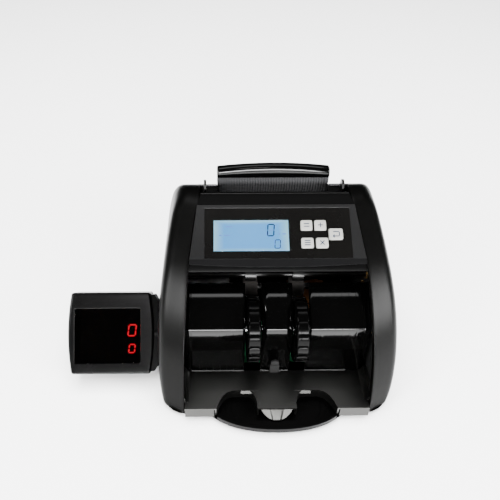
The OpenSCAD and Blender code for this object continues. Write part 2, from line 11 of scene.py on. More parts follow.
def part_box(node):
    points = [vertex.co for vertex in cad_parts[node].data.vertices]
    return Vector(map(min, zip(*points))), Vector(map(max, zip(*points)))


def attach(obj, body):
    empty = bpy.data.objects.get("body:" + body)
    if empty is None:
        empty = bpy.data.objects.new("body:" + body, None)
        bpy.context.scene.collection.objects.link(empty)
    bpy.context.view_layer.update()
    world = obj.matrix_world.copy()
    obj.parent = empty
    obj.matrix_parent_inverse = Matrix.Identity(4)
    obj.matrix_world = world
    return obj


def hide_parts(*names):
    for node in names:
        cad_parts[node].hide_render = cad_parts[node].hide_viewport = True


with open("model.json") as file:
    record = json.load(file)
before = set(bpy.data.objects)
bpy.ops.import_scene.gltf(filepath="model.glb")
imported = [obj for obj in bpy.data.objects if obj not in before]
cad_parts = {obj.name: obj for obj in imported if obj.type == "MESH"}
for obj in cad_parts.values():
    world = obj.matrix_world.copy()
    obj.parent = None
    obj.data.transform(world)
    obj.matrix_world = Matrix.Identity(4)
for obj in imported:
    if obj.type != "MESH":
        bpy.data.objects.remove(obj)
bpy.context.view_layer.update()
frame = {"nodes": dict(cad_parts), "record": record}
NODES = frame["nodes"]
BODY_OF = {n: b for b, names in frame["record"]["behaviour"]["bodies"].items() for n in names}
SLOT_OF = {s["node"]: s["material_slot"] for s in frame["record"]["subparts"]}
MM = 0.001

# ---------- places, in the machine's own millimetres ----------
# X = 0 on the counter's centre plane, the base's front tip at FRONT_TIP, Z = 0 on the table.
FRONT_TIP = -126
BASE_Z = 8
TOP_Z = 208
REAR_Y = 125
HALF_W = 145
PANEL_TILT = math.radians(29.6)
PANEL_EDGE = (2, 166)
DISPLAY_TILT = math.radians(45)
pan_low, pan_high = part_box("base_pan")
ORIGIN = Vector(((pan_low.x + pan_high.x)/2, pan_low.y - FRONT_TIP*MM, 0))


def at(x, y, z):
    """A point of the machine, given in millimetres, in the frame's metres."""
    return ORIGIN + Vector((x, y, z))*MM


def tilted(origin, tilt):
    """A frame on a sloping face: X to the right, Y up the slope and Z out of it."""
    return Matrix.Translation(at(*origin)) @ Matrix.Rotation(tilt, 4, "X") @ Matrix.Scale(MM, 4)


ON_PANEL = tilted((0, *PANEL_EDGE), PANEL_TILT)
DISPLAY_AT = (-209, -10.5, 55.5)
ON_DISPLAY = tilted(DISPLAY_AT, DISPLAY_TILT)


# ---------- outlines ----------
def bezier(p, n):
    """n + 1 points of a cubic curve with control points p."""
    t = np.linspace(0, 1, n + 1)[:, None]
    p = np.array(p, float)
    return (1 - t)**3*p[0] + 3*t*(1 - t)**2*p[1] + 3*t*t*(1 - t)*p[2] + t**3*p[3]


def arc(c, r, a0, a1, n):
    """n + 1 points of an arc round c, with angles in degrees."""
    a = np.radians(np.linspace(a0, a1, n + 1))
    return np.array(c) + r*np.stack([np.cos(a), np.sin(a)], 1)


def spaced(path, n):
    """The path's points again, n of them at even distances."""
    path = np.array(path, float)
    run = np.concatenate([[0], np.cumsum(np.linalg.norm(np.diff(path, axis=0), axis=1))])
    s = np.linspace(0, run[-1], n)
    return np.stack([np.interp(s, run, path[:, k]) for k in range(path.shape[1])], 1)


def smooth_table(points, window):
    """A function through [z, x] points, with its corners eased over the window."""
    z = np.arange(-20, 260, 1.0)
    x = np.interp(z, [p[0] for p in points], [p[1] for p in points])
    k = np.ones(window)/window
    x = np.convolve(np.pad(x, window, mode="edge"), k, mode="same")[window:-window]
    return lambda q: float(np.interp(q, z, x))


# ---------- meshes ----------
def piece(name, verts, faces, body, slot, material, smooth=True, stands_for=()):
    """A new mesh object in the frame's metres, riding on its body."""
    mesh = bpy.data.meshes.new(name)
    mesh.from_pydata([tuple(v) for v in verts], [], [tuple(f) for f in faces])
    mesh.validate()
    mesh.polygons.foreach_set("use_smooth", [smooth]*len(mesh.polygons))
    mesh.materials.append(material)
    obj = bpy.data.objects.new(name, mesh)
    bpy.context.scene.collection.objects.link(obj)
    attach(obj, body)
    if stands_for:
        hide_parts(*stands_for)
    return obj


def sheet_faces(rows, cols, wrap=False, start=0):
    """Quads of a grid of rows x cols points; wrap joins the last column to the first."""
    span = cols if wrap else cols - 1
    return [(start + i*cols + j, start + i*cols + (j + 1) % cols,
             start + (i + 1)*cols + (j + 1) % cols, start + (i + 1)*cols + j)
            for i in range(rows - 1) for j in range(span)]


def add_modifier(obj, kind, name, **values):
    """One modifier with its settings."""
    modifier = obj.modifiers.new(name, kind)
    for key, value in values.items():
        setattr(modifier, key, value)
    return modifier


def thicken(obj, thickness, offset=-1):
    """A skin made into a closed wall, in millimetres; -1 grows it behind the faces and 1 before them."""
    add_modifier(obj, "SOLIDIFY", "shell", thickness=thickness*MM, offset=offset, use_even_offset=False)


def soften(obj, width, segments, angle=35):
    """Rounded edges and even shading on a carried-over CAD node; width is in millimetres."""
    add_modifier(obj, "WELD", "weld", merge_threshold=0.01*MM)
    add_modifier(obj, "BEVEL", "edges", width=width*MM, segments=segments, limit_method="ANGLE",
                 angle_limit=math.radians(angle), harden_normals=False)
    add_modifier(obj, "WEIGHTED_NORMAL", "shading", keep_sharp=True)
    obj.data.polygons.foreach_set("use_smooth", [True]*len(obj.data.polygons))


def joined(parts):
    """Several (verts, faces) pairs as one."""
    verts, faces = [], []
    for v, f in parts:
        faces += [tuple(i + len(verts) for i in face) for face in f]
        verts += list(v)
    return verts, faces


def turned(verts, faces):
    """The same mesh with its faces turned over."""
    return verts, [tuple(reversed(f)) for f in faces]


# ---------- materials ----------
def material(name):
    """A new material with its node tree, output shader and a maker of nodes."""
    m = bpy.data.materials.new(name)
    m.use_nodes = True
    nodes, links = m.node_tree.nodes, m.node_tree.links
    shader = nodes["Principled BSDF"]

    def add(kind, **inputs):
        node = nodes.new(kind)
        for key, value in inputs.items():
            node.inputs[key.replace("_", " ")].default_value = value
        return node
    return m, shader, add, links


def colour_socket(sockets, name):
    """A mix node has a socket of each name for every kind of value; this is the colour's."""
    return next(s for s in sockets if s.name == name and s.type == "RGBA")


def grained(name, colour, rough, grain=0.35, depth=0.02, blotch=0.12, rough_spread=0.06,
            specular=0.5, metallic=0.0, stretch=(1, 1, 1)):
    """A moulded, ground or painted surface: fine grain in its bump, and slow drift in tone and gloss.
    grain is the grain's size in millimetres and depth is the bump's strength."""
    m, shader, add, links = material(name)
    place = add("ShaderNodeTexCoord")
    scaled = add("ShaderNodeMapping")
    scaled.inputs["Scale"].default_value = stretch
    links.new(place.outputs["Object"], scaled.inputs["Vector"])
    fine = add("ShaderNodeTexNoise", Scale=1/(grain*MM)/3, Detail=3.0)    # a third of a cycle to a grain
    slow = add("ShaderNodeTexNoise", Scale=22.0, Detail=4.0)
    links.new(scaled.outputs["Vector"], fine.inputs["Vector"])
    links.new(place.outputs["Object"], slow.inputs["Vector"])
    tone = add("ShaderNodeMapRange", To_Min=1 - blotch, To_Max=1 + blotch)
    links.new(slow.outputs["Fac"], tone.inputs["Value"])
    tint = add("ShaderNodeMix")
    tint.data_type = "RGBA"
    tint.blend_type = "MULTIPLY"
    tint.inputs["Factor"].default_value = 1.0
    colour_socket(tint.inputs, "A").default_value = (*colour, 1)
    links.new(tone.outputs["Result"], colour_socket(tint.inputs, "B"))
    links.new(colour_socket(tint.outputs, "Result"), shader.inputs["Base Color"])
    gloss = add("ShaderNodeMapRange", To_Min=max(rough - rough_spread, 0.02),
                To_Max=min(rough + rough_spread, 1))
    links.new(slow.outputs["Fac"], gloss.inputs["Value"])
    links.new(gloss.outputs["Result"], shader.inputs["Roughness"])
    bump = add("ShaderNodeBump", Strength=depth*10, Distance=0.02*MM*grain/0.35)
    links.new(fine.outputs["Fac"], bump.inputs["Height"])
    links.new(bump.outputs["Normal"], shader.inputs["Normal"])
    shader.inputs["Metallic"].default_value = metallic
    shader.inputs["Specular IOR Level"].default_value = specular
    return m


def shade_ramped(name, colour, rough, along, start, end, low, high, **surface):
    """A grained surface whose reflection grows from low to high between two levels along a direction: painted
    shade, where the low end darkens a part that should fall dark.
    """
    m = grained(name, colour, rough, **surface)
    tree = m.node_tree
    shader = next(n for n in tree.nodes if n.type == "BSDF_PRINCIPLED")
    place = tree.nodes.new("ShaderNodeTexCoord")
    level = tree.nodes.new("ShaderNodeVectorMath")
    level.operation = "DOT_PRODUCT"
    level.inputs[1].default_value = along
    tree.links.new(place.outputs["Object"], level.inputs[0])
    share = tree.nodes.new("ShaderNodeMapRange")
    share.inputs["From Min"].default_value = start
    share.inputs["From Max"].default_value = end
    share.inputs["To Min"].default_value = low
    share.inputs["To Max"].default_value = high
    tree.links.new(level.outputs["Value"], share.inputs["Value"])
    tree.links.new(share.outputs["Result"], shader.inputs["Specular IOR Level"])
    return m


# The bezel's painted shade: the panel's up direction and the overlay's foot, below which the bezel's
# reflection is cut.
UP_PANEL = Vector((0, math.cos(PANEL_TILT), math.sin(PANEL_TILT)))
OVERLAY_FOOT = (ON_PANEL @ Vector((0, 6.5, 0))).dot(UP_PANEL)


def glowing(name, colour, strength, drift=0.1):
    """A lit surface whose light drifts a little over it."""
    m, shader, add, links = material(name)
    place = add("ShaderNodeTexCoord")
    slow = add("ShaderNodeTexNoise", Scale=30.0, Detail=2.0)
    links.new(place.outputs["Object"], slow.inputs["Vector"])
    level = add("ShaderNodeMapRange", To_Min=strength*(1 - drift), To_Max=strength*(1 + drift))
    links.new(slow.outputs["Fac"], level.inputs["Value"])
    links.new(level.outputs["Result"], shader.inputs["Emission Strength"])
    shader.inputs["Emission Color"].default_value = (*colour, 1)
    shader.inputs["Base Color"].default_value = (*[c*0.3 for c in colour], 1)
    shader.inputs["Roughness"].default_value = 0.35
    return m


def clear(name, colour, rough, transmission=1.0):
    """Tinted glass or clear film with a trace of uneven polish."""
    m, shader, add, links = material(name)
    place = add("ShaderNodeTexCoord")
    slow = add("ShaderNodeTexNoise", Scale=60.0, Detail=2.0)
    links.new(place.outputs["Object"], slow.inputs["Vector"])
    gloss = add("ShaderNodeMapRange", To_Min=rough*0.7, To_Max=rough*1.3)
    links.new(slow.outputs["Fac"], gloss.inputs["Value"])
    links.new(gloss.outputs["Result"], shader.inputs["Roughness"])
    shader.inputs["Base Color"].default_value = (*colour, 1)
    shader.inputs["Transmission Weight"].default_value = transmission
    shader.inputs["IOR"].default_value = 1.3
    return m


MATERIALS = {
    # cover_plastic: its reflection is cut towards the bottom, painted shade that keeps the lower sides dark
    # near the floor.
    "cover_plastic": shade_ramped("cover_plastic", (0.0012, 0.0012, 0.0011), 0.34, (0, 0, 1), 0.015, 0.105,
                            0.008, 0.10, grain=0.45),
    "hood_plastic": grained("hood_plastic", (0.0015, 0.0015, 0.0015), 0.42, grain=0.45, depth=0.03,
                            specular=0.06),
    # bezel_plastic: its reflection is cut below the overlay's foot, painted shade on the lower fillet that
    # faces down.
    "bezel_plastic": shade_ramped("bezel_plastic", (0.006, 0.006, 0.0062), 0.34, UP_PANEL,
                            OVERLAY_FOOT - 1.2*MM, OVERLAY_FOOT, 0.02, 0.45, grain=0.4),
    "overlay_film": grained("overlay_film", (0.0028, 0.0026, 0.0024), 0.28, grain=0.2, depth=0.01,
                            blotch=0.05, specular=0.2),
    "gloss_black": grained("gloss_black", (0.0006, 0.0006, 0.0006), 0.10, grain=1.2, depth=0.004,
                           rough_spread=0.03, specular=0.32),
    "tray_plastic": grained("tray_plastic", (0.050, 0.050, 0.048), 0.34, grain=0.25, depth=0.03,
                            metallic=1.0, stretch=(1, 0.03, 0.03)),
    "base_plastic": grained("base_plastic", (0.0008, 0.0008, 0.0008), 0.25, grain=1.0, depth=0.006,
                            rough_spread=0.04, specular=0.035),
    "riser_plastic": grained("riser_plastic", (0.05, 0.05, 0.052), 0.36, grain=0.4, depth=0.02, specular=0.4),
    "rear_plastic": grained("rear_plastic", (0.005, 0.005, 0.005), 0.5, grain=0.5, depth=0.04, specular=0.3),
    "key_plastic": grained("key_plastic", (0.40, 0.40, 0.375), 0.45, grain=0.3, depth=0.012, blotch=0.03),
    "lcd_glass": clear("lcd_glass", (0.93, 0.97, 1.0), 0.06),
    "lcd_backlight": glowing("lcd_backlight", (0.20, 0.50, 0.90), 1.25),
    "lcd_ink": grained("lcd_ink", (0.012, 0.02, 0.05), 0.5, specular=0.2),
    "lcd_faint_ink": glowing("lcd_faint_ink", (0.13, 0.33, 0.62), 1.0),
    "circuit_board": grained("circuit_board", (0.008, 0.07, 0.03), 0.35, grain=0.8, depth=0.05, blotch=0.35),
    "frame_steel": grained("frame_steel", (0.004, 0.004, 0.004), 0.5, grain=0.7, depth=0.05, specular=0.25),
    "bright_steel": grained("bright_steel", (0.50, 0.50, 0.51), 0.24, grain=0.2, depth=0.05,
                            metallic=1.0, stretch=(0.05, 1, 1)),
    # dark_steel: blackened steel, made near-black here as painted shade for the inner shafts in the shade
    # under the bezel.
    "dark_steel": grained("dark_steel", (0.05, 0.05, 0.05), 0.35, grain=0.2, depth=0.05, metallic=1.0),
    "bronze": grained("bronze", (0.50, 0.33, 0.14), 0.32, grain=0.3, depth=0.05, metallic=1.0),
    # guide_plate_steel: the note path's plates are made near-black as painted shade for the shade under the
    # bezel.
    "guide_plate_steel": grained("guide_plate_steel", (0.012, 0.012, 0.012), 0.45, grain=0.3, depth=0.06,
                                 metallic=1.0, stretch=(0.04, 1, 1)),
    "roller_rubber": grained("roller_rubber", (0.012, 0.010, 0.009), 0.75, grain=0.6, depth=0.12,
                             specular=0.3),
    "impeller_rubber": grained("impeller_rubber", (0.0008, 0.0008, 0.0008), 0.2, grain=0.8, depth=0.01,
                               rough_spread=0.04, specular=0.08),
    "foot_rubber": grained("foot_rubber", (0.010, 0.010, 0.010), 0.8, grain=0.6, depth=0.12, specular=0.2),
    "belt_rubber": grained("belt_rubber", (0.010, 0.010, 0.010), 0.7, grain=0.5, depth=0.1, specular=0.2),
    "motor_can": grained("motor_can", (0.36, 0.37, 0.38), 0.35, grain=0.4, depth=0.05, metallic=1.0),
    "pulley_plastic": grained("pulley_plastic", (0.30, 0.30, 0.28), 0.45, grain=0.4, depth=0.03),
    "coil_lacquer": grained("coil_lacquer", (0.16, 0.065, 0.02), 0.4, grain=0.9, depth=0.2,
                            stretch=(1, 1, 4)),
    "sensor_plastic": grained("sensor_plastic", (0.012, 0.012, 0.012), 0.4, grain=0.4, depth=0.02,
                              specular=0.4),
    "inlet_plastic": grained("inlet_plastic", (0.005, 0.005, 0.005), 0.42, grain=0.4, depth=0.03,
                             specular=0.3),
    "rocker_plastic": grained("rocker_plastic", (0.004, 0.004, 0.004), 0.25, grain=0.5, depth=0.01,
                              specular=0.4),
    "guide_clear": grained("guide_clear", (0.012, 0.012, 0.012), 0.35, grain=0.6, depth=0.01, metallic=1.0),
    "display_plastic": grained("display_plastic", (0.0008, 0.0008, 0.0008), 0.26, grain=0.45,
                               depth=0.02, specular=0.12),
    "display_back_plastic": grained("display_back_plastic", (0.0015, 0.0015, 0.0015), 0.42, grain=0.5,
                                    depth=0.02, specular=0.05),
    "smoked_glass": clear("smoked_glass", (0.16, 0.12, 0.11), 0.05),
    "led_red": glowing("led_red", (1.0, 0.012, 0.045), 5.5),
    "led_off": grained("led_off", (0.006, 0.004, 0.004), 0.4, specular=0.2),
    "screw_steel": grained("screw_steel", (0.5, 0.5, 0.51), 0.3, grain=0.2, depth=0.05, metallic=1.0),
}

# ---------- carried-over CAD nodes ----------
# Widths of the rounded edges, in millimetres; small inner nodes have PLAIN_EDGE.
PLAIN_EDGE = 0.3
EDGE = {"base_pan": 0.6, "rubber_feet": 1.0, "carry_handle": 1.2, "handle_riser": 0.3, "panel_bezel": 0.5,
        "panel_overlay": 0.1, "lcd_window": 0.1, "top_cover": 0.5, "stacker_tray": 0.7,
        "left_impeller": 0.25, "right_impeller": 0.25, "rear_cover": 0.5, "rear_panel": 0.5,
        "power_inlet": 0.5, "power_rocker": 0.5, "mode_key": 0.8, "function_key": 0.8, "batch_key": 0.8,
        "clear_key": 0.8, "restart_key": 0.8, "display_pivot": 0.6, "pivot_bushing": 0.6}
for node, obj in NODES.items():
    obj.data.materials.clear()
    obj.data.materials.append(MATERIALS[SLOT_OF[node]])
    soften(obj, EDGE.get(node, PLAIN_EDGE), segments=3 if node in EDGE else 2)


def new_piece(name, mesh, stands_for, smooth=True):
    """A piece that stands for a CAD node and takes its body and its slot's material."""
    return piece(name, *mesh, BODY_OF[stands_for], SLOT_OF[stands_for],
                 MATERIALS[SLOT_OF[stands_for]], smooth, (stands_for,))


# ---------- side covers ----------
FAN_CENTRE = np.array([20, BASE_Z], float)
COVER_WALL = 2.4
COVER_LEAN = 0.52       # how far the top strip drops for its width, where the outline stands upright
COVER_CORNER = 9        # the rounded corner's depth; it doubles where the outline lies flat
inner_x = smooth_table([(8, 114), (98, 111), (166, 106), (203, 97), (208, 92)], 15)
outer_points = bezier([(HALF_W - 3, BASE_Z), (HALF_W + 5, 95), (HALF_W - 5, 165), (HALF_W - 24, TOP_Z)], 40)


def outer_x(z):
    """How far out a side wall stands at a height."""
    return float(np.interp(z, outer_points[:, 1], outer_points[:, 0]))


def side_contour():
    """The side view's outline from the front foot over the top to the rear foot, as [y, z]."""
    panel_top = (67.5, 203.2)
    return np.concatenate([
        bezier([(-101, BASE_Z), (-101, 60), (-62, 128), PANEL_EDGE], 30),
        [panel_top], bezier([panel_top, (76, 207.4), (84, TOP_Z), (95, TOP_Z)], 6)[1:],
        arc((REAR_Y - 30, TOP_Z - 30), 30, 90, 0, 12)[1:], [(REAR_Y, BASE_Z)]])


def cover_mesh(side):
    """The outer skin of a side cover: a strip that slopes outwards, a rounded corner and a bulging wall."""
    line = spaced(side_contour(), 120)
    ahead = np.gradient(line, axis=0)
    slope = ahead[:, 1]/np.linalg.norm(ahead, axis=1)
    verts, cols = [], 0
    for c, rise in zip(line, slope):
        inward = FAN_CENTRE - c
        reach = np.linalg.norm(inward)
        inward /= reach
        inner = inner_x(c[1])
        width = outer_x(c[1]) - inner
        lean = COVER_LEAN*max(rise, 0.0)
        corner = COVER_CORNER + COVER_CORNER*(1 - abs(rise))
        start = 1 - corner/width*0.8
        section = [(0, 9), (0, 1.0), (0.012, 0.25), (0.04, 0.04*width*lean)]
        section += [(f, f*width*lean) for f in np.linspace(0.15, start, 6)]
        full = width*lean
        bend = bezier([(start, start*full), (start + 0.65*(1 - start), full*(start + 0.65*(1 - start))),
                       (1, full + 0.35*corner), (1, full + corner)], 8)[1:]
        section += [tuple(p) for p in bend]
        deep = full + corner
        section += [(1, deep + (reach - deep)*f) for f in (0.06, 0.15, 0.28, 0.42, 0.58, 0.74, 0.88, 0.97)]
        for f, d in section:
            p = c + inward*d
            x = inner + f*(outer_x(p[1]) - inner)
            verts.append(at(side*x, *p))
        cols = len(section)
    faces = sheet_faces(len(line), cols)
    centre = len(verts)
    verts.append(at(side*outer_x(BASE_Z), *FAN_CENTRE))
    faces += [(i*cols + cols - 1, centre, (i + 1)*cols + cols - 1) for i in range(len(line) - 1)]
    return turned(verts, faces) if side < 0 else (verts, faces)


for cover_side, cover_node in ((-1, "left_side_cover"), (1, "right_side_cover")):
    thicken(new_piece(cover_node + "_shell", cover_mesh(cover_side), cover_node), COVER_WALL)

# ---------- stacker back plate ----------
PLATE_HALF = 113
SLOT_HALF = 10
SLOT_PITCH = 57
SLOT_Z = (29, 132)
PLATE_WALL = 2.3
GROOVE_PITCH = 8.7
# One groove's section, as [offset across the plate, depth]
GROOVE = [(-1.3, 0), (-0.5, 0), (-0.25, 0.035), (0, 0.05), (0.25, 0.035), (0.5, 0), (1.3, 0)]


def back_plate():
    """A bent plate with shallow upright grooves and two open slots for the impellers."""
    fold = bezier([(-46, 95), (-45.8, 99.5), (-44.9, 101.2), (-43.2, 102.7)], 12)
    line = np.concatenate([[(-50, 24)], fold, [(-28, 114.6), (-2, 138)]])
    cuts = [SLOT_PITCH/2 - SLOT_HALF, SLOT_PITCH/2 + SLOT_HALF]
    stations = [(-PLATE_HALF, 0), (PLATE_HALF, 0)] + [(s*c, 0) for c in cuts for s in (-1, 1)]
    for i in range(-13, 14):
        x = i*GROOVE_PITCH
        if abs(x) < PLATE_HALF - 2 and all(abs(abs(x) - c) > 1.5 for c in cuts):
            stations += [(x + dx, depth) for dx, depth in GROOVE]
    stations.sort()
    xs = [s[0] for s in stations]
    ahead = np.gradient(line, axis=0)
    normal = np.stack([ahead[:, 1], -ahead[:, 0]], 1)/np.linalg.norm(ahead, axis=1)[:, None]
    verts = [at(x, *(p + n*d)) for p, n in zip(line, normal) for x, d in stations]
    faces = []
    for i, j in ((i, j) for i in range(len(line) - 1) for j in range(len(xs) - 1)):
        mid_x, mid_z = abs((xs[j] + xs[j + 1])/2), (line[i][1] + line[i + 1][1])/2
        if cuts[0] < mid_x < cuts[1] and SLOT_Z[0] < mid_z < SLOT_Z[1]:
            continue
        a = i*len(xs) + j
        faces.append((a, a + 1, a + len(xs) + 1, a + len(xs)))
    thicken(new_piece("stacker_back_plate_ribbed", (verts, faces), "stacker_back_plate"), PLATE_WALL)


back_plate()

# ---------- display head ----------
HEAD_WIDTH = 55
HEAD_HEIGHT = 52
HEAD_FRONT = 15
GLASS = ((-46, 38), (-38, 31.5))


def head_ring(inset, depth, n=28):
    """A closed ring of the head's outline with bulging sides and rounded corners, at one depth."""
    h, w, r = HEAD_HEIGHT - inset, HEAD_WIDTH - 4 - inset, max(3.2 - inset*0.5, 1.2)
    right = bezier([(w, -h + r), (w + 5.3, -h/3), (w + 5.3, h/3), (w, h - r)], n)
    top = np.concatenate([arc((w - r, h - r), r, 0, 90, 4)[1:],
                          np.stack([np.linspace(w - r, -w + r, n), np.full(n, h)], 1)[1:],
                          arc((-w + r, h - r), r, 90, 180, 4)[1:-1]])
    left = -right
    bottom = -top
    ring = np.concatenate([right, top, left, bottom])
    return [(x, y, depth) for x, y in ring]


def window_ring(like, depth, grow=0.0):
    """The window's edge with as many points as the ring that it is like, matched by direction."""
    (x0, x1), (y0, y1) = GLASS
    cx, cy, hx, hy = (x0 + x1)/2, (y0 + y1)/2, (x1 - x0)/2 + grow, (y1 - y0)/2 + grow
    out = []
    for x, y, _ in like:
        u, v = x/HEAD_WIDTH, y/HEAD_HEIGHT
        k = 1/max(abs(u), abs(v))
        out.append((cx + u*k*hx, cy + v*k*hy, depth))
    return out


def lofted(rings, place, cap_first=False, cap_last=False):
    """Quads between closed rings of equal length, with optional end caps."""
    n = len(rings[0])
    verts = [place @ Vector(p) for ring in rings for p in ring]
    faces = sheet_faces(len(rings), n, wrap=True)
    if cap_first:
        faces.append(tuple(reversed(range(n))))
    if cap_last:
        faces.append(tuple(range((len(rings) - 1)*n, len(rings)*n)))
    return verts, faces


def display_shells():
    """The front shell with its sunk window, and the back shell."""
    edge = [(3.2*(1 - math.cos(a)), HEAD_FRONT - 3.2*(1 - math.sin(a)))
            for a in np.radians([0, 18, 36, 54, 72, 90])]
    rings = [head_ring(2.4, 0), head_ring(2.4, -1.9), head_ring(0.2, -1.9), head_ring(0, -1.5)]
    rings += [head_ring(0, 5)] + [head_ring(e, d) for e, d in edge]
    face = head_ring(3.2, HEAD_FRONT)
    rings += [window_ring(face, HEAD_FRONT, 1.2), window_ring(face, HEAD_FRONT - 0.3, 0.4),
              window_ring(face, HEAD_FRONT - 1.2, 0), window_ring(face, HEAD_FRONT - 2.5, 0),
              window_ring(face, HEAD_FRONT - 2.6, 3)]
    front = new_piece("display_front_shell", lofted(rings, ON_DISPLAY), "display_front")
    back_edge = [(3*(1 - math.cos(a)), -HEAD_FRONT + 3*(1 - math.sin(a)))
                 for a in np.radians([0, 30, 60, 90])]
    rings = [head_ring(2.4, -2.6), head_ring(0.2, -2.6), head_ring(0, -3)]
    rings += [head_ring(e, d) for e, d in back_edge]
    rings += [head_ring(12, -HEAD_FRONT), head_ring(13, -HEAD_FRONT + 1), head_ring(30, -HEAD_FRONT + 1)]
    mesh = lofted(rings, ON_DISPLAY, cap_last=True)
    back = new_piece("display_back_shell", turned(*mesh), "display_back")
    for obj in (front, back):
        add_modifier(obj, "WEIGHTED_NORMAL", "shading", keep_sharp=True)


display_shells()

# ---------- digits ----------
SEGMENTS = {"top": ((0, 1), (1, 1)), "upper_right": ((1, 1), (1, 0.5)), "lower_right": ((1, 0.5), (1, 0)),
            "bottom": ((0, 0), (1, 0)), "lower_left": ((0, 0.5), (0, 0)), "upper_left": ((0, 1), (0, 0.5)),
            "middle": ((0, 0.5), (1, 0.5))}


def segment(a, b, width, depth):
    """A long flat hexagon from a to b, as a thin prism."""
    a, b = np.array(a, float), np.array(b, float)
    along = (b - a)/np.linalg.norm(b - a)
    across = np.array([-along[1], along[0]])*width/2
    a, b = a + along*width*0.12, b - along*width*0.12
    tip = along*width/2
    ring = [a, a + tip + across, b - tip + across, b, b - tip - across, a + tip - across]
    n = len(ring)
    verts = [(*p, z) for z in (0, depth) for p in ring]
    faces = [tuple(reversed(range(n))), tuple(range(n, 2*n))]
    faces += [(i, (i + 1) % n, n + (i + 1) % n, n + i) for i in range(n)]
    return verts, faces


def stroke_on(place, a, b, width, depth, z):
    """A segment laid on a face, at a height over it."""
    verts, faces = segment(a, b, width, depth)
    return [place @ Vector((px, py, pz + z)) for px, py, pz in verts], faces


def digit(place, x, y, w, h, stroke, lit, slant=0.1, depth=0.25, z=0.0):
    """One seven-segment figure with the named segments, its lower left corner at x, y."""
    parts = []
    for name in lit:
        (ax, ay), (bx, by) = SEGMENTS[name]
        a, b = (x + ax*w + slant*ay*h, y + ay*h), (x + bx*w + slant*by*h, y + by*h)
        parts.append(stroke_on(place, a, b, stroke, depth, z))
    return joined(parts)


ZERO = [s for s in SEGMENTS if s != "middle"]
MARK_DEPTH = 0.12


def marks(name, place, lines, stroke, z, body, slot, mat):
    """Thin raised strokes, each given as [x0, y0, x1, y1] on a face."""
    parts = [stroke_on(place, (x0, y0), (x1, y1), stroke, MARK_DEPTH, z) for x0, y0, x1, y1 in lines]
    piece(name, *joined(parts), body, slot, mat, smooth=False)


# ---------- control panel ----------
LCD_X = (-77, 15)
LCD_Y = (15.3, 56)
LCD_INK_Z = -0.45


def lcd_light():
    """The backlight's colour: blue in the middle and paler along its edges."""
    m, shader, add, links = material("lcd_light")
    place = add("ShaderNodeTexCoord")
    split = add("ShaderNodeSeparateXYZ")
    links.new(place.outputs["Generated"], split.inputs[0])
    nearness = []
    for axis in ("X", "Z"):
        centred = add("ShaderNodeMath")
        centred.operation = "MULTIPLY_ADD"
        links.new(split.outputs[axis], centred.inputs[0])
        centred.inputs[1].default_value = 2.0
        centred.inputs[2].default_value = -1.0
        size = add("ShaderNodeMath")
        size.operation = "ABSOLUTE"
        links.new(centred.outputs[0], size.inputs[0])
        nearness.append(size)
    edge = add("ShaderNodeMath")
    edge.operation = "MAXIMUM"
    links.new(nearness[0].outputs[0], edge.inputs[0])
    links.new(nearness[1].outputs[0], edge.inputs[1])
    ramp = add("ShaderNodeValToRGB")
    ramp.color_ramp.elements[0].position = 0.72
    ramp.color_ramp.elements[0].color = (0.07, 0.42, 1.0, 1)
    ramp.color_ramp.elements[1].position = 0.97
    ramp.color_ramp.elements[1].color = (0.32, 0.68, 0.86, 1)
    links.new(edge.outputs[0], ramp.inputs["Fac"])
    links.new(ramp.outputs["Color"], shader.inputs["Emission Color"])
    shader.inputs["Emission Strength"].default_value = 1.25
    shader.inputs["Base Color"].default_value = (0.05, 0.08, 0.1, 1)
    shader.inputs["Roughness"].default_value = 0.4
    return m


def rounded_ring(x0, x1, y0, y1, r, z, n=4):
    """A closed ring of a rectangle with rounded corners."""
    corners = [(x1 - r, y1 - r, 0), (x0 + r, y1 - r, 90), (x0 + r, y0 + r, 180), (x1 - r, y0 + r, 270)]
    return [(x, y, z) for cx, cy, a in corners for x, y in arc((cx, cy), r, a, a + 90, n)]


def lcd_ring(grow, r, z):
    """The lit area's outline, grown on every side."""
    return rounded_ring(LCD_X[0] - grow, LCD_X[1] + grow, LCD_Y[0] - grow, LCD_Y[1] + grow, r, z)


def lcd():
    """The display's lit area, its dark module case and its figures."""
    case = [lcd_ring(4 - e, 1.5, z) for e, z in ((0.4, -7.5), (0, -7.1), (0, -2.4), (0.4, -2.05))]
    piece("lcd_case", *lofted(case, ON_PANEL, True, True), "chassis", "overlay_film",
          MATERIALS["overlay_film"], smooth=False, stands_for=("lcd_module",))
    lit = [lcd_ring(-0.6, 1.2, z) for z in (-1.2, -0.5)]
    piece("lcd_lit_area", *lofted(lit, ON_PANEL, True, True), "chassis", "lcd_backlight", lcd_light(),
          smooth=False)
    figures = [digit(ON_PANEL, -11.6, 35.2, 7.6, 14.6, 1.5, ZERO, slant=0.08, depth=0.1, z=LCD_INK_Z),
               digit(ON_PANEL, -3.2, 19.6, 6.3, 10.4, 1.1, ZERO, slant=0.08, depth=0.1, z=LCD_INK_Z)]
    piece("lcd_figures", *joined(figures), "chassis", "overlay_film", MATERIALS["lcd_ink"], smooth=False)
    unlit = digit(ON_PANEL, -11.6, 35.2, 7.6, 14.6, 1.3, ("middle",), slant=0.08, depth=0.08, z=LCD_INK_Z)
    piece("lcd_unlit_figures", *joined([unlit]), "chassis", "overlay_film", MATERIALS["lcd_faint_ink"],
          smooth=False)
    dashes = ((-62, -53, 47), (-70, -66, 36), (-64, -56, 36), (1.5, 4, 37.5), (6, 11, 37.5))
    lines = [(x0, y, x1, y) for x0, x1, y in dashes]
    marks("lcd_indicator_marks", ON_PANEL, lines, 1.3, LCD_INK_Z, "chassis", "overlay_film",
          MATERIALS["lcd_faint_ink"])


KEY_BOXES = {"mode": (28.6, 41.2, 14, 13), "function": (45.2, 41.2, 14, 13), "batch": (28.4, 19, 14.6, 12.8),
             "clear": (46, 19, 14.6, 12.8), "restart": (62, 29.2, 16.6, 14.2)}
KEY_MARK_SCALE = 1.4
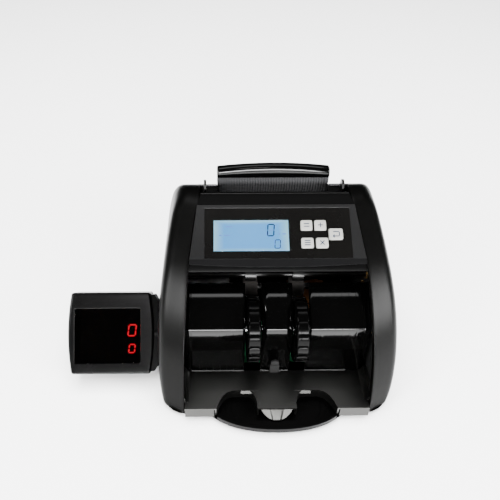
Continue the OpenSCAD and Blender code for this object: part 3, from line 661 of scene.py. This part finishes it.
# Generic marks in place of words: two bars, a plus, a stack, a cross and a loop with an arrow
KEY_MARKS = {"mode": ((-2.6, 1.2, 2.6, 1.2), (-2.6, -1.2, 2.6, -1.2)),
             "function": ((-2.4, 0, 2.4, 0), (0, -2.4, 0, 2.4)),
             "batch": ((-2.8, 1.9, 2.8, 1.9), (-2.8, 0, 2.8, 0), (-2.8, -1.9, 2.8, -1.9)),
             "clear": ((-2, -2, 2, 2), (-2, 2, 2, -2)),
             "restart": ((-2.8, 2, 2.8, 2), (2.8, 2, 2.8, -2), (2.8, -2, -2.8, -2), (-2.8, -2, -1.2, -3.4),
                         (-2.8, -2, -1.2, -0.6))}


def key(name, box):
    """A key with rounded corners, a slightly domed top and a thin printed mark."""
    x, y, w, h = box
    profile = ((-0.5, -3.5, 2.0), (-0.5, -2.3, 2.0), (0.05, -2.2, 2.2), (0.05, 1.7, 2.2), (0.2, 2.15, 2.1),
               (0.55, 2.42, 1.9), (1.2, 2.54, 1.6), (3.0, 2.6, 1.2))
    rings = [rounded_ring(x + e, x + w - e, y + e, y + h - e, r, z) for e, z, r in profile]
    new_piece(name + "_keycap", lofted(rings, ON_PANEL, True, True), name + "_key")
    cx, cy = x + w/2, y + h/2
    k = KEY_MARK_SCALE
    lines = [(cx + k*a, cy + k*b, cx + k*c, cy + k*d) for a, b, c, d in KEY_MARKS[name]]
    top = profile[-1][1]
    marks(name + "_mark", ON_PANEL, lines, 1.1, top, name + "_button", "overlay_film", MATERIALS["lcd_ink"])


lcd()
for key_name, key_box in KEY_BOXES.items():
    key(key_name, key_box)


# ---------- side display's inside ----------
def display_inside():
    """The LED board behind the smoked window and its two lit figures."""
    board = [rounded_ring(-45, 37, -37, 33, 1.0, z) for z in (2.2, 3.8)]
    piece("led_board", *lofted(board, ON_DISPLAY, True, True), "side_display", "overlay_film",
          MATERIALS["led_off"], smooth=False, stands_for=("display_digits",))
    for name, x, y, w, h in (("upper", 20.8, -4, 9.4, 14), ("lower", 21.8, -25.6, 7.4, 10.4)):
        frame_rings = [rounded_ring(x - 2.4, x + w + 3, y - 1, y + h + 1, 0.8, z) for z in (3.8, 7.6)]
        piece(name + "_led_block", *lofted(frame_rings, ON_DISPLAY, True, True), "side_display",
              "overlay_film", MATERIALS["led_off"], smooth=False)
        piece(name + "_led_figure", *digit(ON_DISPLAY, x, y, w, h, 1.9, ZERO, slant=0.12, depth=0.3, z=7.6),
              "side_display", "led_red", MATERIALS["led_red"], smooth=False)


display_inside()


def hinge_shroud():
    """The narrow housing between the head and the side cover, which hides the pivot."""
    rings = [[(x, y, z) for y, z in ((-h, -d), (h, -d), (h + 0.6, 0), (h, d), (-h, d), (-h - 0.6, 0))]
             for x, h, d in ((49, 49, 10.6), (55.4, 49, 10.6), (59.8, 42.5, 10), (60.8, 41, 9))]
    piece("display_hinge_shroud", *lofted(rings, ON_DISPLAY, True, True), "side_display",
          "display_back_plastic", MATERIALS["display_back_plastic"], smooth=False)


hinge_shroud()


# ---------- inside wall below the rear panel ----------
def rear_lining():
    """A dark strip inside the foot of the rear panel that closes its lower joint."""
    low, high = at(-123, 117.4, 9), at(123, 118.6, 24)
    verts = [(x, y, z) for z in (low[2], high[2]) for y in (low[1], high[1]) for x in (low[0], high[0])]
    faces = [(0, 2, 3, 1), (4, 5, 7, 6), (0, 1, 5, 4), (2, 6, 7, 3), (0, 4, 6, 2), (1, 3, 7, 5)]
    piece("rear_lining", verts, faces, "chassis", "rear_plastic", MATERIALS["rear_plastic"], smooth=False)


rear_lining()

# ---------- impellers ----------
IMPELLER_AT = (-30, 85)
IMPELLER_FINGERS = 16
FINGER_ROOT = 9.5       # from the axis, in millimetres
FINGER_REACH = 30.0
FINGER_SWEEP = 64       # degrees that the tip trails behind the root


def impeller_mesh(x):
    """A hub with long swept fingers whose outer ends lie close together."""
    y0, z0 = IMPELLER_AT
    parts = []
    for i in range(IMPELLER_FINGERS):
        verts = []
        t = np.linspace(0, 1, 14)
        radius = FINGER_ROOT + FINGER_REACH*(1 - (1 - t)**2.2)
        angle = np.radians(i*360/IMPELLER_FINGERS) - np.radians(FINGER_SWEEP)*t**1.5
        line = np.stack([radius*np.cos(angle), radius*np.sin(angle)], 1)
        ahead = np.gradient(line, axis=0)
        ahead /= np.linalg.norm(ahead, axis=1)[:, None]
        across = np.stack([-ahead[:, 1], ahead[:, 0]], 1)
        for p, n, f in zip(line, across, t):
            half = 1.2 - 0.5*f
            wide = 7.8 - 1.2*f**8
            crown = -0.9*f
            ring = [(wide, crown), (wide*0.72, crown*0.5 - half), (wide*0.36, crown*0.12 - half), (0, -half),
                    (-wide*0.36, crown*0.12 - half), (-wide*0.72, crown*0.5 - half), (-wide, crown),
                    (-wide*0.72, half*0.6), (wide*0.72, half*0.6)]
            ring = [(dx, -d) for dx, d in ring]
            verts += [at(x + dx, y0 + p[0] + n[0]*d, z0 + p[1] + n[1]*d) for dx, d in ring]
        m = len(ring)
        faces = sheet_faces(len(t), m, wrap=True)
        faces += [tuple(reversed(range(m))), tuple(range((len(t) - 1)*m, len(t)*m))]
        parts.append((verts, faces))
    rings = [[(w, r*math.cos(a), r*math.sin(a)) for a in np.radians(np.arange(0, 360, 12))]
             for w, r in ((-7.6, 4.2), (-7.6, 10.6), (-7.2, 11), (7.2, 11), (7.6, 10.6), (7.6, 4.2))]
    verts = [at(x + w, y0 + y, z0 + z) for ring in rings for w, y, z in ring]
    n = len(rings[0])
    faces = sheet_faces(len(rings), n, wrap=True)
    last = (len(rings) - 1)*n
    faces += [(last + i, last + (i + 1) % n, (i + 1) % n, i) for i in range(n)]
    parts.append((verts, faces))
    return joined(parts)


for impeller_name, impeller_x in (("left_impeller", -SLOT_PITCH/2), ("right_impeller", SLOT_PITCH/2)):
    wheel = new_piece(impeller_name + "_fingers", impeller_mesh(impeller_x), impeller_name)
    add_modifier(wheel, "WEIGHTED_NORMAL", "shading", keep_sharp=True)


# ---------- carry handle ----------
HANDLE_HALF = 72


def handle_cap():
    """The crowned grip: one closed profile swept along the handle and lowered towards its ends."""
    profile = np.concatenate([[(131, 210.6), (131, 216)],
                              bezier([(131, 216), (131, 224), (126, 227), (121, 227)], 8)[1:],
                              bezier([(121, 227), (116, 227), (113.5, 222), (113.5, 212.6)], 8)[1:],
                              [(113.7, 211.2), (115, 210.2), (118, 211.9), (127, 211.9), (129.6, 210.1)]])
    middle = np.array((122, 216))
    rings = []
    stations = [(-1, 0.84), (-0.995, 0.93), (-0.985, 0.98), (-0.965, 1)]
    stations += [(u, 1) for u in np.linspace(-0.93, 0.93, 21)]
    stations += [(0.965, 1), (0.985, 0.98), (0.995, 0.93), (1, 0.84)]
    for u, size in stations:
        ring = []
        for q in profile:
            y, z = middle + (q - middle)*size
            z = 210 + (z - 210)*(1 - 0.30*u*u) if z > 210 else z
            ring.append((u*HANDLE_HALF, y, z))
        rings.append(ring)
    place = Matrix.Translation(ORIGIN) @ Matrix.Scale(MM, 4)
    mesh = lofted(rings, place, True, True)
    new_piece("carry_handle_grip", turned(*mesh), "carry_handle")


handle_cap()


# ---------- stacker's front ----------
NOSE_TOP = 24.15
NOSE_DROP = 14.4
NOSE_START = -97.6
NOSE_RUN = 15.0
NOSE_HALF = 23.6
NOSE_TAPER = 8.5
NOSE_FLAT = 0.38        # the share of its half width that stays flat


def tongue_nose():
    """The sloping nose between the finger recesses: a flat strip with flanks that turn away."""
    cols = [-1, -0.85, -0.7, -0.55, -0.44, -0.40, -0.37, -0.2, 0, 0.2, 0.37, 0.40, 0.44, 0.55, 0.7, 0.85, 1]
    verts = []
    rows = 12
    for i in range(rows):
        v = i/(rows - 1)
        z = NOSE_TOP - NOSE_DROP*v
        front = NOSE_START - NOSE_RUN*v**0.92
        half = NOSE_HALF - NOSE_TAPER*v
        for c in cols:
            turn = max(abs(c) - NOSE_FLAT, 0)/(1 - NOSE_FLAT)
            verts.append(at(c*half, front + 15*v*turn**0.8 + 1.2*(1 - v)*turn, z))
    obj = piece("tongue_nose", verts, sheet_faces(rows, len(cols)), "chassis", "tray_plastic",
                MATERIALS["tray_plastic"])
    thicken(obj, 1.2, offset=1)


tongue_nose()


def recess_bevels():
    """A short worn bevel at the rear edge of each finger recess."""
    parts = []
    for side in (-1, 1):
        x0, x1 = side*22.5, side*43.5
        verts = []
        for y, z in ((-79.1, 24.1), (-79.6, 24.1), (-81.7, 20.7), (-79.1, 20.2)):
            verts += [at(min(x0, x1), y, z), at(max(x0, x1), y, z)]
        faces = sheet_faces(4, 2) + [(6, 7, 1, 0), (0, 2, 4, 6), (7, 5, 3, 1)]
        parts.append((verts, faces))
    piece("recess_bevels", *joined(parts), "chassis", "tray_plastic", MATERIALS["tray_plastic"], smooth=False)


recess_bevels()


def plate_foot():
    """The small rounded fold where the back plate meets the tray, seen between the wheels and the sensor."""
    parts = []
    for x0, x1 in ((-106, -39), (-18, -6.5), (6.5, 18), (39, 92)):
        verts = []
        for y, z in ((-50, 25.5), (-50.95, 24.05), (-50, 24.05)):
            verts += [at(x0, y, z), at(x1, y, z)]
        faces = sheet_faces(3, 2) + [(4, 5, 1, 0), (0, 2, 4), (5, 3, 1)]
        parts.append((verts, faces))
    piece("plate_foot", *joined(parts), "chassis", "gloss_black", MATERIALS["gloss_black"], smooth=False)


plate_foot()


RIDGE_FOOT = 7.9
RIDGE_TOP = 8.7
RIDGE_HALF = 0.35


def dish_ridges():
    """Fine raised arcs in the floor of each finger recess."""
    parts = []
    for side in (-1, 1):
        for k in range(3):
            reach = 22 + 7*k
            line = [(side*(34 + reach*math.sin(a)), -88 - reach*0.2 - 24*math.cos(a)*0.9)
                    for a in np.radians(np.linspace(25, 100, 12))]
            verts = []
            for x, y in line:
                verts += [at(x - RIDGE_HALF, y, RIDGE_FOOT), at(x, y, RIDGE_TOP),
                          at(x + RIDGE_HALF, y, RIDGE_FOOT)]
            last = len(verts) - 1
            faces = sheet_faces(len(line), 3, wrap=True) + [(2, 1, 0), (last - 2, last - 1, last)]
            parts.append((verts, faces))
    piece("dish_ridges", *joined(parts), "chassis", "base_plastic", MATERIALS["base_plastic"])


dish_ridges()

# ---------- floor, lights and camera ----------
def studio():
    """A pale floor lit by its own lamp, and soft lamps for the machine."""
    m, shader, add, links = material("floor")
    place = add("ShaderNodeTexCoord")
    slow = add("ShaderNodeTexNoise", Scale=3.0, Detail=3.0)
    links.new(place.outputs["Object"], slow.inputs["Vector"])
    tone = add("ShaderNodeMapRange", To_Min=0.86, To_Max=0.88)
    links.new(slow.outputs["Fac"], tone.inputs["Value"])
    links.new(tone.outputs["Result"], shader.inputs["Base Color"])
    shader.inputs["Roughness"].default_value = 0.8
    bpy.ops.mesh.primitive_plane_add(size=12, location=(0, 0, 0))
    floor = bpy.context.object
    floor.name = "floor"
    floor.data.materials.append(m)
    world = bpy.data.worlds.new("studio")
    bpy.context.scene.world = world
    world.use_nodes = True
    world.node_tree.nodes["Background"].inputs["Color"].default_value = (1, 1, 1, 1)
    world.node_tree.nodes["Background"].inputs["Strength"].default_value = 0.07
    lamp("front", (0.0, -1.9, 0.62), (0, 0, 0.1), (1.3, 0.42), 84)
    lamp("left", (-1.3, -0.8, 1.15), (0, 0, 0.1), (0.6, 0.8), 52)
    lamp("right", (1.5, -0.82, 0.88), (0, 0, 0.1), (0.6, 0.8), 60)
    lamp("overhead", (0, 0.5, 1.9), (0, 0, 0), (1.6, 0.6), 12)
    shells = [bpy.data.objects[name] for name in ("display_front_shell", "display_back_shell")]
    head = lamp("head", (-0.17, -1.03, 1.15), (-0.15, 0, 0.06), (0.45, 0.12), 4)
    light_only(head, "head_only", shells)
    grip = lamp("grip", (0.05, -0.71, 1.08), (0.05, 0.12, 0.22), (0.22, 0.04), 0.5)
    light_only(grip, "grip_only", [bpy.data.objects["carry_handle_grip"]])
    wash = lamp("floor_wash", (0, 0, 3.2), (0, 0, 0), (3.0, 3.0), 640)
    light_only(wash, "floor_only", [floor])


def light_only(light, name, receivers):
    """Limits a lamp to the given objects."""
    group = bpy.data.collections.new(name)
    for obj in receivers:
        group.objects.link(obj)
    light.light_linking.receiver_collection = group


def lamp(name, place, aim, size, watts):
    """A soft rectangular lamp."""
    light = bpy.data.lights.new(name, "AREA")
    light.shape = "RECTANGLE"
    light.size, light.size_y = size
    light.energy = watts
    obj = bpy.data.objects.new(name, light)
    bpy.context.scene.collection.objects.link(obj)
    obj.location = place
    obj.rotation_euler = (Vector(aim) - Vector(place)).to_track_quat("-Z", "Y").to_euler()
    return obj


CAMERA_LENS = 36
CAMERA_PITCH = math.radians(43)
CAMERA_YAW = math.radians(0.5)
CAMERA_SHIFT = 0.05
CAMERA_DISTANCE = 700
CAMERA_AIM = (-62.7, 139.2)


def camera():
    """The camera looks down at the counter from the front; its aim is a point across and up the view."""
    flat = Vector((math.sin(CAMERA_YAW), math.cos(CAMERA_YAW), 0))
    right = Vector((math.cos(CAMERA_YAW), -math.sin(CAMERA_YAW), 0))
    up = Vector((0, 0, math.cos(CAMERA_PITCH))) + flat*math.sin(CAMERA_PITCH)
    ahead = flat*math.cos(CAMERA_PITCH) - Vector((0, 0, math.sin(CAMERA_PITCH)))
    lens = bpy.data.cameras.new("camera")
    lens.sensor_width = 36
    lens.lens = CAMERA_LENS
    lens.shift_x = CAMERA_SHIFT
    lens.clip_end = 50
    obj = bpy.data.objects.new("camera", lens)
    bpy.context.scene.collection.objects.link(obj)
    obj.location = at(*(right*CAMERA_AIM[0] + up*CAMERA_AIM[1] - ahead*CAMERA_DISTANCE))
    obj.rotation_euler = Matrix((right, up, -ahead)).transposed().to_euler()
    bpy.context.scene.camera = obj


studio()
camera()
